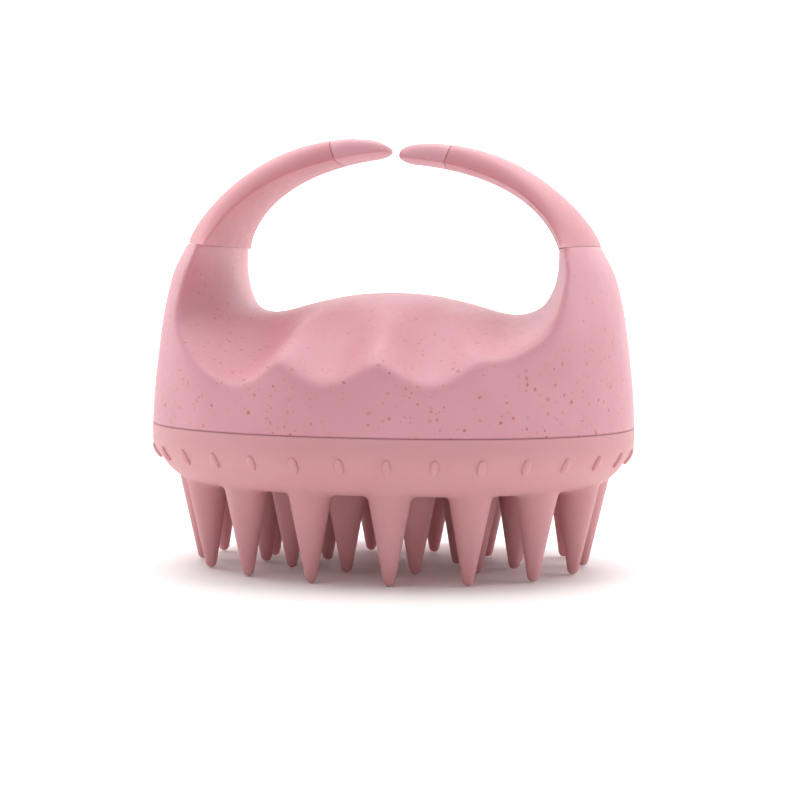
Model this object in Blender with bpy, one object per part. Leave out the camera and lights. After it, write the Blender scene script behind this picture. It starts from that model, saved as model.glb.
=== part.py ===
"""Scalp massager brush: a hard oval palm shell with two curled finger arms, over a soft bristle pad.

Metres, +Z up. The origin is on the surface that the bristle tips stand on, under the middle of the
shell. +X runs along the shell's long axis, from the left arm to the right one, and -Y is the front.
"""

import math

import bmesh
import bpy
from mathutils import Matrix, Vector

MM = 0.001
FIT_GAP = 0.3 * MM

# The oval outline that the shell, the pad and the plate share.
HALF_LENGTH = 47.5 * MM
HALF_WIDTH = 40.0 * MM
OUTLINE_POWER = 2.15
OUTLINE_SEGMENTS = 64

# Hard shell: an upright oval wall with a tunnel for the fingers cut through it from front to back. What
# stands beside the tunnel are the roots of the arms. It is hollow under the tunnel's domed floor.
SEAM_Z = 28.0 * MM
SHELL_WALL = 2.2 * MM
WALL_PROFILE = (  # half length, half width, height
    (47.5 * MM, 40.0 * MM, SEAM_Z),
    (47.1 * MM, 39.9 * MM, 35.0 * MM),
    (46.3 * MM, 39.7 * MM, 42.0 * MM),
    (45.6 * MM, 39.6 * MM, 47.5 * MM),
    (44.4 * MM, 39.5 * MM, 53.5 * MM),
    (42.9 * MM, 39.5 * MM, 58.3 * MM),
    (41.3 * MM, 39.5 * MM, 61.3 * MM),
    (38.5 * MM, 39.5 * MM, 66.0 * MM),
)
TUNNEL_PROFILE = (  # x and height at mid-depth, then front drop and flare, on the right and on the left
    (0.0 * MM, 53.8 * MM, (11.2 * MM, 0.0 * MM), (11.2 * MM, 0.0 * MM)),
    (8.0 * MM, 53.2 * MM, (10.8 * MM, 0.0 * MM), (10.8 * MM, 0.0 * MM)),
    (16.0 * MM, 51.5 * MM, (9.7 * MM, 0.0 * MM), (9.7 * MM, 0.0 * MM)),
    (20.5 * MM, 50.2 * MM, (8.8 * MM, 0.0 * MM), (8.8 * MM, 0.0 * MM)),
    (24.0 * MM, 49.6 * MM, (7.8 * MM, 0.0 * MM), (7.8 * MM, 0.7 * MM)),
    (27.0 * MM, 50.1 * MM, (6.7 * MM, 0.5 * MM), (6.9 * MM, 2.1 * MM)),
    (29.6 * MM, 51.6 * MM, (5.6 * MM, 1.2 * MM), (9.0 * MM, 4.1 * MM)),
    (31.4 * MM, 54.6 * MM, (4.2 * MM, 1.8 * MM), (14.0 * MM, 6.8 * MM)),
    (32.3 * MM, 58.2 * MM, (2.0 * MM, 2.1 * MM), (9.0 * MM, 5.0 * MM)),
    (32.4 * MM, 62.2 * MM, (0.0 * MM, 2.0 * MM), (0.0 * MM, 2.2 * MM)),
    (32.4 * MM, 75.0 * MM, (0.0 * MM, 2.0 * MM), (0.0 * MM, 2.0 * MM)),
)
TUNNEL_DROP_SPAN = 38.0 * MM
TUNNEL_FLARE_SPAN = 22.0 * MM
TUNNEL_DEPTH_SHARES = (0.0, 0.2, 0.4, 0.56, 0.7, 0.82, 0.9, 0.95, 0.98, 1.0, 1.35)
TUNNEL_FLOOR_END = 27.0 * MM
TUNNEL_STEP = 2.3 * MM
WALL_START_SPAN = (52.0 * MM, 58.0 * MM)
SHOULDER_START = 0.90
SHOULDER_DROP = 1.6 * MM
DOME_PROFILE = (  # share of the outline, height
    (1.000, 28.0 * MM),
    (0.998, 32.0 * MM),
    (0.994, 36.0 * MM),
    (0.978, 39.3 * MM),
    (0.935, 41.5 * MM),
    (0.840, 43.9 * MM),
    (0.690, 46.6 * MM),
    (0.500, 49.6 * MM),
    (0.280, 52.4 * MM),
)
APEX_Z = 53.8 * MM
DENT_RIDGE_X = 2.2 * MM
DENT_PITCH = 18.4 * MM
DENT_DEPTHS = {-2: 6.5 * MM, -1: 4.6 * MM, 0: 4.4 * MM, 1: 1.4 * MM}
LEFTMOST_STRETCH = 1.11
DENT_SPAN = (0.30, 0.92)
DENT_DEPTH_SPAN = (0.0, 0.4)
DOME_DENT_SPAN = (31.0 * MM, 40.0 * MM)

# Soft pad: a cup under the shell, with a row of grip nubs and rings of bristles.
PAD_WALL = 2.2 * MM
PAD_TOP_Z = SEAM_Z - FIT_GAP
PAD_FLOOR_Z = 18.5 * MM
PAD_BOTTOM_Z = 16.5 * MM
PAD_PROFILE = (  # inset from the outline, height
    (0.0 * MM, PAD_TOP_Z),
    (0.0 * MM, 24.3 * MM),
    (0.8 * MM, 22.7 * MM),
    (2.0 * MM, 21.1 * MM),
    (3.1 * MM, 19.6 * MM),
    (4.9 * MM, 18.0 * MM),
    (9.0 * MM, PAD_BOTTOM_Z),
)
NUB_COUNT = 32
NUB_Z = 22.6 * MM
NUB_INSET = 0.95 * MM
NUB_LEAN = math.radians(29.0)
NUB_HALF_SIZE = (0.75 * MM, 0.6 * MM, 1.6 * MM)
BRISTLE_RINGS = (  # count, first angle in steps, half length and half width of the ring of tips
    (16, 0.25, 37.9 * MM, 30.3 * MM),
    (12, 0.50, 25.5 * MM, 16.0 * MM),
    (4, 0.00, 13.0 * MM, 4.6 * MM),
)
BRISTLE_LEAN = 1.0 * MM
BRISTLE_ROOT_Z = 20.0 * MM
BRISTLE_PROFILE = (  # height, radius
    (BRISTLE_ROOT_Z, 4.70 * MM),
    (0.9 * MM, 1.20 * MM),
    (0.0 * MM, 0.70 * MM),
)
BRISTLE_SIDES = 8

# Backing plate that the pad is stretched over, and its screws.
PLATE_FLOOR_Z = PAD_FLOOR_Z + FIT_GAP
PLATE_THICKNESS = 2.5 * MM
PLATE_RIM_Z = 31.0 * MM
PLATE_WALL = 1.8 * MM
SCREW_X = 24.0 * MM
SCREW_Y = 15.0 * MM
SCREW_PLACES = ((-SCREW_X, -SCREW_Y), (SCREW_X, -SCREW_Y), (-SCREW_X, SCREW_Y), (SCREW_X, SCREW_Y))
STANDOFF_RADIUS = 4.6 * MM
COUNTERBORE_RADIUS = 3.1 * MM
COUNTERBORE_DEPTH = 4.5 * MM
SCREW_HEAD_RADIUS = 2.8 * MM
SCREW_HEAD_HEIGHT = 2.0 * MM
SCREW_RADIUS = 1.4 * MM
SCREW_LENGTH = 12.0 * MM
SCREW_RECESS = 0.9 * MM
BOSS_RADIUS = 3.6 * MM
BOSS_SIDES = 12

# Arms. Each is a sweep between an outer and an inner cubic curve in the XZ plane, given on the +X side.
ROOT_OUTER = (40.4 * MM, 62.9 * MM)
ROOT_INNER = (32.4 * MM, 62.2 * MM)
ROOT_HALF_DEPTH = 22.0 * MM
ROOT_EDGE = 0.6 * MM
ROOT_RECESS = 1.3 * MM
END_RECESS = 0.8 * MM
RECESS_SPAN = (0.05, 0.85)
DEPTH_POWER = 1.2
END_HALF_DEPTH = 7.5 * MM
END_EDGE = 4.0 * MM
INNER_LAG = 0.85
THINNEST_EDGE = 0.6 * MM
OUTER_SPREADS = (-0.98, -0.85, -0.6, -0.3, 0.0, 0.3, 0.6, 0.85, 0.98)
INNER_SPREADS = (0.98, 0.7, 0.35, 0.0, -0.35, -0.7, -0.98)
SLEEVE_WALL = 1.2 * MM
SPIGOT_LENGTH = 7.0 * MM
SPIGOT_ROOT_OUTER = (42.2 * MM, 59.4 * MM)
SPIGOT_ROOT_INNER = (32.8 * MM, 58.6 * MM)
FLEX_GAP = 1.6 * MM
CORE_GAP = 0.55 * MM
SOCKET_DEPTH = 3.4 * MM
TIP_ROUND_LENGTH = 2.6 * MM
ARMS = {
    "left": {
        "side": -1,
        "outer": (ROOT_OUTER, (40.9 * MM, 66.5 * MM), (25.5 * MM, 88.1 * MM), (0.9 * MM, 82.7 * MM)),
        "inner": (ROOT_INNER, (27.4 * MM, 75.6 * MM), (10.8 * MM, 79.2 * MM), (0.9 * MM, 80.2 * MM)),
        "tip_length": 10.7 * MM,
    },
    "right": {
        "side": 1,
        "outer": (ROOT_OUTER, (40.1 * MM, 66.8 * MM), (24.0 * MM, 86.8 * MM), (0.7 * MM, 81.9 * MM)),
        "inner": (ROOT_INNER, (27.4 * MM, 75.6 * MM), (10.0 * MM, 78.6 * MM), (0.7 * MM, 79.0 * MM)),
        "tip_length": 10.4 * MM,
    },
}

COLOURS = {  # linear colour, roughness, metallic
    "shell": ((0.62, 0.30, 0.34), 0.45, 0.0),
    "silicone": ((0.60, 0.25, 0.28), 0.60, 0.0),
    "core": ((0.75, 0.72, 0.68), 0.55, 0.0),
    "steel": ((0.55, 0.55, 0.56), 0.30, 1.0),
}


def material(name, look):
    colour, roughness, metallic = COLOURS[look]
    made = bpy.data.materials.new(name)
    made.use_nodes = True
    shader = made.node_tree.nodes["Principled BSDF"]
    shader.inputs["Base Color"].default_value = (*colour, 1.0)
    shader.inputs["Roughness"].default_value = roughness
    shader.inputs["Metallic"].default_value = metallic
    return made


def add_object(name, bm, look=None):
    """The bmesh as an object. Without a look it is a cutter or a helper, left out of the model."""
    bmesh.ops.recalc_face_normals(bm, faces=bm.faces)
    mesh = bpy.data.meshes.new(name)
    bm.to_mesh(mesh)
    bm.free()
    obj = bpy.data.objects.new(name, mesh)
    bpy.context.scene.collection.objects.link(obj)
    if look:
        mesh.materials.append(material(name, look))
        mesh.shade_smooth()
        mesh.set_sharp_from_angle(angle=math.radians(35))
    else:
        obj.hide_render = True
        obj.display_type = "WIRE"
    return obj


def combine(obj, other, operation):
    modifier = obj.modifiers.new(f"{operation} {other.name}", "BOOLEAN")
    modifier.operation = operation
    modifier.solver = "EXACT"
    modifier.object = other


def skin(bm, rings, closed=False):
    """Faces between rings of equal count: a closed tube loop, or a body with an end face on each end ring."""
    loops = [[bm.verts.new(point) for point in ring] for ring in rings]
    pairs = list(zip(loops, loops[1:]))
    if closed:
        pairs.append((loops[-1], loops[0]))
    for low, high in pairs:
        for i in range(len(low)):
            j = (i + 1) % len(low)
            bm.faces.new((low[i], low[j], high[j], high[i]))
    if not closed:
        bm.faces.new(loops[0])
        bm.faces.new(loops[-1])


def body_of_rings(name, rings, look=None, closed=False):
    bm = bmesh.new()
    skin(bm, rings, closed)
    return add_object(name, bm, look)


def rod_ring(centre, radius, z, sides):
    turns = [2 * math.pi * k / sides for k in range(sides)]
    return [Vector((centre[0] + radius * math.cos(t), centre[1] + radius * math.sin(t), z)) for t in turns]


def rods(name, places, steps, sides=BOSS_SIDES):
    """Upright turned rods on each place, from (height, radius) steps, as one helper object."""
    bm = bmesh.new()
    for place in places:
        skin(bm, [rod_ring(place, radius, z, sides) for z, radius in steps])
    return add_object(name, bm)


def outline_point(angle, share=1.0, inset=0.0, half_length=HALF_LENGTH, half_width=HALF_WIDTH):
    c = math.cos(angle)
    s = math.sin(angle)
    x = math.copysign(abs(c) ** (2 / OUTLINE_POWER), c) * (half_length * share - inset)
    y = math.copysign(abs(s) ** (2 / OUTLINE_POWER), s) * (half_width * share - inset)
    return Vector((x, y, 0.0))


def outline_ring(z, share=1.0, inset=0.0, half_length=HALF_LENGTH, half_width=HALF_WIDTH):
    angles = [2 * math.pi * k / OUTLINE_SEGMENTS for k in range(OUTLINE_SEGMENTS)]
    return [outline_point(a, share, inset, half_length, half_width) + Vector((0, 0, z)) for a in angles]


def smooth_step(value, start, end):
    part = min(1.0, max(0.0, (value - start) / (end - start)))
    return part * part * (3 - 2 * part)


def share_at(x, y):
    """How far out a place is: 0 in the middle and 1 on the outline."""
    x_part = abs(x / HALF_LENGTH) ** OUTLINE_POWER
    y_part = abs(y / HALF_WIDTH) ** OUTLINE_POWER
    return (x_part + y_part) ** (1 / OUTLINE_POWER)


def dent(x, y, share):
    """How far the finger dents lower the top of the shell. They lie side by side on each long side, and the
    back is the front turned half round."""
    turns = (math.copysign(x, -x * y) / math.sqrt(max(share, 0.1)) - DENT_RIDGE_X) / DENT_PITCH
    if turns < -1:
        turns = -1 + (turns + 1) / LEFTMOST_STRETCH
    depth = DENT_DEPTHS.get(math.floor(turns), 0.0) * abs(math.sin(math.pi * turns)) ** 1.2
    return depth * smooth_step(share, *DENT_SPAN) * smooth_step(abs(y) / HALF_WIDTH, *DENT_DEPTH_SPAN)


def tunnel_place(x):
    """(x, height, drop, flare) of the tunnel's profile, at its floor, this far from mid-length."""
    for low, high in zip(TUNNEL_PROFILE, TUNNEL_PROFILE[1:]):
        if abs(x) <= high[0]:
            part = (abs(x) - low[0]) / (high[0] - low[0])
            low, high = ((row[1], *row[2 if x > 0 else 3]) for row in (low, high))
            return (x, *(a + (b - a) * part for a, b in zip(low, high)))
    raise ValueError("the tunnel's floor ends before that")


def tunnel_columns():
    """(x, height, drop, flare) across the tunnel: even steps over the floor's dents, then up both walls."""
    walls = [row for row in TUNNEL_PROFILE if row[0] > TUNNEL_FLOOR_END]
    count = math.ceil(2 * TUNNEL_FLOOR_END / TUNNEL_STEP)
    floor = [TUNNEL_FLOOR_END * (2 * k / count - 1) for k in range(count + 1)]
    left = [(-x, height, *shape) for x, height, _, shape in reversed(walls)]
    right = [(x, height, *shape) for x, height, shape, _ in walls]
    return left + [tunnel_place(x) for x in floor] + right


def tunnel_ring(depth_share):
    """The tunnel's profile where it has gone this share of the way to the shell's wall. The back half is the
    front half turned half round."""
    ring = []
    for x, height, drop, flare in tunnel_columns():
        reach = HALF_WIDTH * (1 - abs(x / HALF_LENGTH) ** OUTLINE_POWER) ** (1 / OUTLINE_POWER)
        y = -reach * abs(depth_share)
        share = share_at(x, y)
        shoulder = min(1.0, max(0.0, (share - SHOULDER_START) / (1 - SHOULDER_START)))
        lowered = dent(x, y, share) + SHOULDER_DROP * shoulder ** 3
        on_floor = 1 - smooth_step(height, *WALL_START_SPAN)
        z = height - drop * (y / TUNNEL_DROP_SPAN) ** 2 - lowered * on_floor
        outwards = math.copysign(flare * (y / TUNNEL_FLARE_SPAN) ** 2, x)
        ring.append(Vector((x + outwards, y, z)))
    return [Vector((-p.x, -p.y, p.z)) for p in reversed(ring)] if depth_share > 0 else ring


def dome_rings(inset):
    """Rings of the hollow under the domed floor, which is inset from it square to its surface."""
    rings = []
    mean_half = (HALF_LENGTH + HALF_WIDTH) / 2
    for i, (share, z) in enumerate(DOME_PROFILE):
        before = DOME_PROFILE[max(i - 1, 0)]
        after = DOME_PROFILE[min(i + 1, len(DOME_PROFILE) - 1)]
        rise = Vector(((after[0] - before[0]) * mean_half, after[1] - before[1])).normalized()
        ring = outline_ring(z, share)
        moved = outline_ring(z, share, inset * rise.y)
        in_dome = smooth_step(z, *DOME_DENT_SPAN)
        rings.append([
            inner + Vector((0, 0, inset * rise.x - dent(outer.x, outer.y, share) * in_dome))
            for inner, outer in zip(moved, ring)
        ])
    rings.append([Vector((p.x * 0.3, p.y * 0.3, APEX_Z - inset)) for p in rings[-1]])
    return rings


def cubic(points, t):
    weights = ((1 - t) ** 3, 3 * t * (1 - t) ** 2, 3 * t * t * (1 - t), t ** 3)
    return Vector([sum(w * point[k] for w, point in zip(weights, points)) for k in (0, 1)])


def inner_point(arm, t):
    """The point on the inner curve that lies square across the arm from the outer curve's point."""
    return cubic(arm["inner"], t - INNER_LAG * t * (1 - t))


def section(side, outer, inner, half_depth, edge, recess, inset=0.0, scale=1.0):
    """One cross-section of an arm: its outer face bulges and thins to edge at the front and back, and its
    inner face is nearly flat. Inset gives the section that lies that much inside it."""
    across = outer - inner
    thickness = across.length
    edge = min(edge, 0.75 * thickness)
    direction = across.normalized()
    middle = inner + across / 2
    thick_enough = (thickness - 2 * inset - THINNEST_EDGE) / (thickness - edge)
    reach = min(1 - inset / half_depth, math.sqrt(thick_enough)) if inset else 1.0
    points = []
    for spreads, outside in ((OUTER_SPREADS, True), (INNER_SPREADS, False)):
        for spread in spreads:
            along = abs(spread * reach) ** OUTLINE_POWER
            if outside:
                out = thickness - inset - (thickness - recess - edge) * along
            else:
                out = inset + recess * along
            spot = middle + (inner + direction * out - middle) * scale
            points.append(Vector((side * spot.x, spread * reach * half_depth * scale, spot.y)))
    return points


def arm_section(arm, t, inset=0.0, scale=1.0):
    half_depth = END_HALF_DEPTH + (ROOT_HALF_DEPTH - END_HALF_DEPTH) * (1 - t) ** DEPTH_POWER
    edge = ROOT_EDGE + (END_EDGE - ROOT_EDGE) * t
    recess = ROOT_RECESS + (END_RECESS - ROOT_RECESS) * smooth_step(t, *RECESS_SPAN)
    outer = cubic(arm["outer"], t)
    inner = inner_point(arm, t)
    return section(arm["side"], outer, inner, half_depth, edge, recess, inset, scale)


def arm_centre(arm, t):
    return (cubic(arm["outer"], t) + inner_point(arm, t)) / 2


def arm_place(arm, length, from_tip=False):
    """The sweep parameter at this length along the arm's centre line, from its root or from its tip's end."""
    steps = 400
    walked = 0.0
    order = range(steps, 0, -1) if from_tip else range(steps)
    for k in order:
        step = -1 if from_tip else 1
        walked += (arm_centre(arm, (k + step) / steps) - arm_centre(arm, k / steps)).length
        if walked >= length:
            return (k + step) / steps
    raise ValueError("the arm is shorter than that")


def between(start, end, count):
    return [start + (end - start) * k / (count - 1) for k in range(count)]


def make_spigot(arm, name):
    """The plug that the grip sleeve is pushed over. It starts inside the arm's root on the shell."""
    inset = SLEEVE_WALL + FIT_GAP
    low = section(
        arm["side"], Vector(SPIGOT_ROOT_OUTER), Vector(SPIGOT_ROOT_INNER),
        ROOT_HALF_DEPTH, ROOT_EDGE, ROOT_RECESS, inset,
    )
    end = arm_place(arm, SPIGOT_LENGTH)
    return body_of_rings(name, [low] + [arm_section(arm, t, inset) for t in between(0.0, end, 4)])


def make_seam_cutter(side, name):
    """Takes away all that stands above the seam between a root and its sleeve."""
    slope = (ROOT_OUTER[1] - ROOT_INNER[1]) / (ROOT_OUTER[0] - ROOT_INNER[0])
    rings = []
    for y in (-50 * MM, 50 * MM):
        corners = []
        for x in (20 * MM, 60 * MM):
            corners.append(Vector((side * x, y, ROOT_INNER[1] + slope * (x - ROOT_INNER[0]))))
        corners.append(Vector((side * 60 * MM, y, 90 * MM)))
        corners.append(Vector((side * 20 * MM, y, 90 * MM)))
        rings.append(corners)
    return body_of_rings(name, rings)


def make_shell():
    wall = [outline_ring(z, 1.0, 0.0, half_x, half_y) for half_x, half_y, z in WALL_PROFILE]
    shell = body_of_rings("body_shell", wall, "shell")
    shares = [-share for share in reversed(TUNNEL_DEPTH_SHARES[1:])] + list(TUNNEL_DEPTH_SHARES)
    combine(shell, body_of_rings("tunnel", [tunnel_ring(share) for share in shares]), "DIFFERENCE")
    for label, arm in ARMS.items():
        combine(shell, make_seam_cutter(arm["side"], f"{label}_seam_cutter"), "DIFFERENCE")
        combine(shell, make_spigot(arm, f"{label}_spigot"), "UNION")
    hollow_rings = dome_rings(SHELL_WALL)
    hollow_rings.insert(0, [Vector((p.x, p.y, SEAM_Z - 5 * MM)) for p in hollow_rings[0]])
    hollow = body_of_rings("shell_hollow", hollow_rings)
    columns = rods("boss_columns", SCREW_PLACES, ((SEAM_Z - 8 * MM, BOSS_RADIUS), (APEX_Z, BOSS_RADIUS)))
    combine(hollow, columns, "DIFFERENCE")
    combine(shell, hollow, "DIFFERENCE")
    pilot = SCREW_RADIUS + FIT_GAP
    pilots = rods("pilot_holes", SCREW_PLACES, ((SEAM_Z - 5 * MM, pilot), (SEAM_Z + 10 * MM, pilot)), 10)
    combine(shell, pilots, "DIFFERENCE")


def bristle_spots():
    """(root, tip) of each bristle's axis, as points in the XY plane."""
    spots = []
    for count, phase, half_x, half_y in BRISTLE_RINGS:
        for k in range(count):
            angle = 2 * math.pi * (k + phase) / count - math.pi / 2
            tip = Vector((half_x * math.cos(angle), half_y * math.sin(angle)))
            lean = BRISTLE_LEAN * tip.length / HALF_LENGTH
            spots.append((tip + tip.normalized() * lean, tip))
    return spots


def make_bristles():
    bm = bmesh.new()
    for root, tip in bristle_spots():
        rings = []
        for z, radius in BRISTLE_PROFILE:
            centre = tip + (root - tip) * (z / BRISTLE_ROOT_Z)
            rings.append(rod_ring(centre, radius, z, BRISTLE_SIDES))
        skin(bm, rings)
    return add_object("bristles", bm)


def even_angles(count, inset):
    """Outline angles of places spaced evenly round the oval."""
    steps = 1440
    points = [outline_point(2 * math.pi * k / steps, 1.0, inset) for k in range(steps + 1)]
    lengths = [0.0]
    for a, b in zip(points, points[1:]):
        lengths.append(lengths[-1] + (b - a).length)
    angles = []
    for n in range(count):
        wanted = lengths[-1] * (n + 0.5) / count
        k = next(i for i, length in enumerate(lengths) if length >= wanted)
        angles.append(2 * math.pi * k / steps)
    return angles


def make_nubs():
    """Grip nubs on the pad's side, each leaning with the surface that it stands on."""
    bm = bmesh.new()
    for angle in even_angles(NUB_COUNT, NUB_INSET):
        place = outline_point(angle, 1.0, NUB_INSET)
        ahead = outline_point(angle + 0.01, 1.0, NUB_INSET)
        heading = math.atan2(ahead.y - place.y, ahead.x - place.x)
        turn = Matrix.Rotation(heading, 4, "Z") @ Matrix.Rotation(NUB_LEAN, 4, "X")
        size = Matrix.Diagonal((*NUB_HALF_SIZE, 1.0))
        at = Matrix.Translation((place.x, place.y, NUB_Z))
        bmesh.ops.create_uvsphere(bm, u_segments=8, v_segments=6, radius=1.0, matrix=at @ turn @ size)
    return add_object("rim_nubs", bm)


def pad_hollow_rings(extra=0.0):
    """The pad's inside, or the plate's outside where extra is the gap between them."""
    inset = PAD_WALL + extra
    return [
        outline_ring(PAD_FLOOR_Z + extra, 1.0, inset + 5.4 * MM),
        outline_ring(21.3 * MM, 1.0, inset + 2.4 * MM),
        outline_ring(24.2 * MM, 1.0, inset),
    ]


def make_pad():
    pad = body_of_rings("bristle_pad", [outline_ring(z, 1.0, inset) for inset, z in PAD_PROFILE], "silicone")
    combine(pad, make_bristles(), "UNION")
    combine(pad, make_nubs(), "UNION")
    hollow = body_of_rings("pad_hollow", pad_hollow_rings() + [outline_ring(SEAM_Z + 5 * MM, 1.0, PAD_WALL)])
    combine(pad, hollow, "DIFFERENCE")


def make_plate():
    """A tray: its rim locates in the shell, and its standoffs meet the shell's bosses."""
    inset = PAD_WALL + FIT_GAP
    outer = pad_hollow_rings(FIT_GAP) + [outline_ring(PLATE_RIM_Z, 1.0, inset)]
    plate = body_of_rings("backing_plate", outer, "core")
    floor = PLATE_FLOOR_Z + PLATE_THICKNESS
    hollow = body_of_rings("plate_hollow", [
        outline_ring(floor, 1.0, inset + PLATE_WALL + 2.4 * MM),
        outline_ring(24.2 * MM, 1.0, inset + PLATE_WALL),
        outline_ring(PLATE_RIM_Z + 5 * MM, 1.0, inset + PLATE_WALL),
    ])
    combine(plate, hollow, "DIFFERENCE")
    standoffs = rods("standoffs", SCREW_PLACES, (
        (floor - MM, STANDOFF_RADIUS),
        (SEAM_Z - FIT_GAP, STANDOFF_RADIUS),
    ))
    combine(plate, standoffs, "UNION")
    clearance = SCREW_RADIUS + FIT_GAP
    bore_end = PLATE_FLOOR_Z + COUNTERBORE_DEPTH
    bores = rods("screw_bores", SCREW_PLACES, (
        (PLATE_FLOOR_Z - 2 * MM, COUNTERBORE_RADIUS),
        (bore_end, COUNTERBORE_RADIUS),
        (bore_end, clearance),
        (SEAM_Z + 5 * MM, clearance),
    ))
    combine(plate, bores, "DIFFERENCE")


def make_screws():
    """A pan-head self-tapping screw on each place, with a cross recess, head down in its counterbore."""
    top = PLATE_FLOOR_Z + COUNTERBORE_DEPTH - FIT_GAP
    bottom = top - SCREW_HEAD_HEIGHT
    profile = (
        (bottom, 0.75 * SCREW_HEAD_RADIUS),
        (bottom + 0.6 * MM, SCREW_HEAD_RADIUS),
        (top, SCREW_HEAD_RADIUS),
        (top, SCREW_RADIUS),
        (top + SCREW_LENGTH - 2 * MM, SCREW_RADIUS),
        (top + SCREW_LENGTH, 0.3 * SCREW_RADIUS),
    )
    for number, place in enumerate(SCREW_PLACES, 1):
        bm = bmesh.new()
        skin(bm, [rod_ring(place, radius, z, 10) for z, radius in profile])
        screw = add_object(f"plate_screw_{number}", bm, "steel")
        bm = bmesh.new()
        arm_length = 1.5 * MM
        arm_width = 0.35 * MM
        corners = []
        for quarter in range(4):
            c, s = ((1, 0), (0, 1), (-1, 0), (0, -1))[quarter]
            for x, y in ((arm_width, -arm_width), (arm_length, -arm_width), (arm_length, arm_width)):
                corners.append((x * c - y * s, x * s + y * c))
        skin(bm, [
            [Vector((place[0] + x, place[1] + y, z)) for x, y in corners]
            for z in (bottom - MM, bottom + SCREW_RECESS)
        ])
        combine(screw, add_object(f"screw_recess_{number}", bm), "DIFFERENCE")


def make_arm(label, arm):
    """The moving part of one arm: a hard core, the soft sleeve round it and the hard tip on its end."""
    inset = SLEEVE_WALL + CORE_GAP
    seam = arm_place(arm, FIT_GAP)
    joint = arm_place(arm, arm["tip_length"], from_tip=True)
    tip_start = arm_place(arm, arm["tip_length"] - FIT_GAP, from_tip=True)
    socket_end = arm_place(arm, arm["tip_length"] - SOCKET_DEPTH, from_tip=True)
    core_start = arm_place(arm, SPIGOT_LENGTH + FLEX_GAP)
    core_end = arm_place(arm, arm["tip_length"] - SOCKET_DEPTH + FIT_GAP, from_tip=True)
    round_start = arm_place(arm, TIP_ROUND_LENGTH, from_tip=True)

    outside = [arm_section(arm, t) for t in between(seam, joint, 10)]
    inside = [arm_section(arm, t, SLEEVE_WALL) for t in between(joint, seam, 10)]
    body_of_rings(f"{label}_grip_sleeve", outside + inside, "silicone", closed=True)

    body_of_rings(
        f"{label}_arm_core",
        [arm_section(arm, t, inset) for t in between(core_start, core_end, 9)],
        "core",
    )

    socket = [arm_section(arm, t, SLEEVE_WALL) for t in between(socket_end, tip_start, 3)]
    outer = [arm_section(arm, t) for t in between(tip_start, round_start, 4)]
    rounded = []
    for turn in between(0.25, 0.94, 4):
        t = round_start + (1 - round_start) * turn
        rounded.append(arm_section(arm, t, 0.0, math.sqrt(1 - turn ** 2)))
    body_of_rings(f"{label}_tip", socket + outer + rounded, "shell")
    pivot = arm_centre(arm, arm_place(arm, SPIGOT_LENGTH + FLEX_GAP / 2))
    return Vector((arm["side"] * pivot.x, 0.0, pivot.y))


def set_origin(obj, place):
    """Moves the object's origin to this world point and leaves its shape where it is."""
    for vert in obj.data.vertices:
        vert.co -= place
    obj.location = place


def main():
    for obj in list(bpy.data.objects):
        bpy.data.objects.remove(obj, do_unlink=True)
    make_shell()
    make_pad()
    make_plate()
    make_screws()
    for label, arm in ARMS.items():
        pivot = make_arm(label, arm)
        for piece in ("grip_sleeve", "arm_core", "tip"):
            set_origin(bpy.data.objects[f"{label}_{piece}"], pivot)
        print(f"{label} arm pivot {pivot.x:.5f} {pivot.z:.5f}")


main()
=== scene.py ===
"""Looks for the scalp massager brush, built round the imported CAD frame.

Metres, +Z up, -Y the front. The dimensions are the CAD's own, in finer steps and with rounded edges.
"""

import math

import bmesh
import bpy
import numpy as np
from mathutils import Matrix, Vector


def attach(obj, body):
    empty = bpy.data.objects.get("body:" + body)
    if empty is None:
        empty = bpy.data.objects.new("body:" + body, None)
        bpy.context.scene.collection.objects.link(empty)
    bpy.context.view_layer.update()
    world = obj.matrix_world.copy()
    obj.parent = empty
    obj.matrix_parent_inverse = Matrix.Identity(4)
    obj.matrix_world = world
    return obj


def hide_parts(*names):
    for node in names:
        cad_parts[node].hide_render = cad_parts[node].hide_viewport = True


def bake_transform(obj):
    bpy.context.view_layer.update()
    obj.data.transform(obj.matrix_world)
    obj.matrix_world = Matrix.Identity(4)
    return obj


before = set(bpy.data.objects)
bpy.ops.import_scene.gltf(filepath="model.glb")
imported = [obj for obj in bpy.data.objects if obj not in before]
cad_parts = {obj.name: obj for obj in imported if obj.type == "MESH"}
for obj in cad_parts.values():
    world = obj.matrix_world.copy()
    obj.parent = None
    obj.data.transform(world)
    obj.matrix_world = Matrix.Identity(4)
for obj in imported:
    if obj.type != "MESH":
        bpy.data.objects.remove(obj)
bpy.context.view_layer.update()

MM = 0.001
FIT_GAP = 0.3 * MM

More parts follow.
